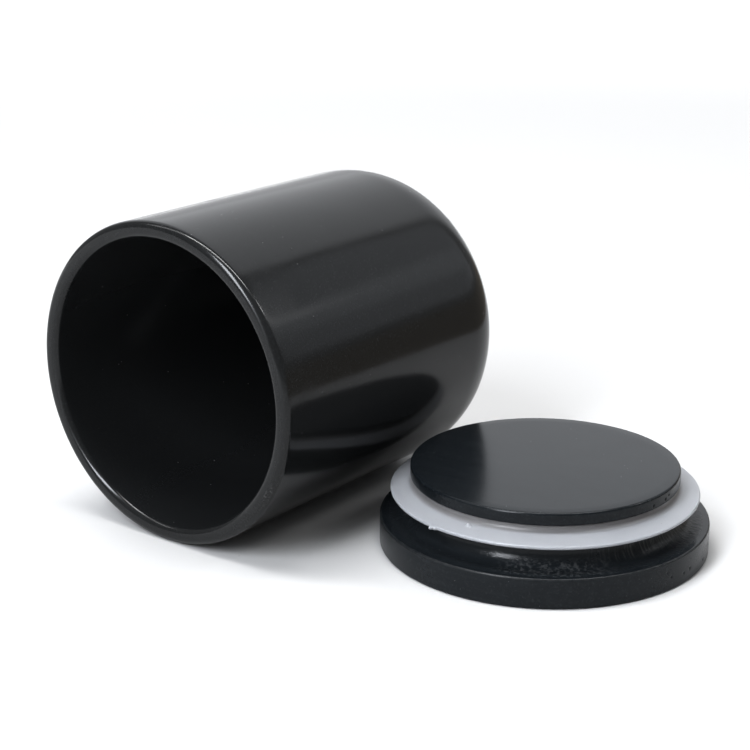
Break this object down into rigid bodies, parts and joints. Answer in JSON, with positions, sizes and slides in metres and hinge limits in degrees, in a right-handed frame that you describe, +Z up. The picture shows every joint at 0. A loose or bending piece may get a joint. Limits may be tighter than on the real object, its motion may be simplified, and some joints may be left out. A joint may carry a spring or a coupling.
{
  "type": "candle jar with lid",
  "caption": "Black ceramic candle jar with a rounded base, a turned wooden lid and a silicone sealing ring.",
  "frame": {"origin": "on the surface that the set lies on, under the middle of the box that holds jar and lid", "axes": "+Z up from the surface, +Y along the jar's axis from its mouth to its base, +X from the jar towards the lid"},
  "size_m": [0.1528, 0.0974, 0.08],
  "materials": {
    "black_glaze": "semi-gloss",
    "painted_wood": "satin",
    "milky_silicone": "satin"
  },
  "bodies": {
    "jar": {"jar": "black_glaze"},
    "lid": {"lid": "painted_wood"},
    "seal_ring": {"seal_ring": "milky_silicone"}
  },
  "joints": [
    {"name": "lid_lift", "type": "slide", "parent": "jar", "child": "lid", "axis": [0.5, 0, 0.866], "range_m": [0, 0.1]},
    {"name": "ring_turn", "type": "hinge", "parent": "lid", "child": "seal_ring", "pos_m": [0.0364, 0.00865, 0.0152], "axis": [0, 0, 1], "continuous": true}
  ]
}
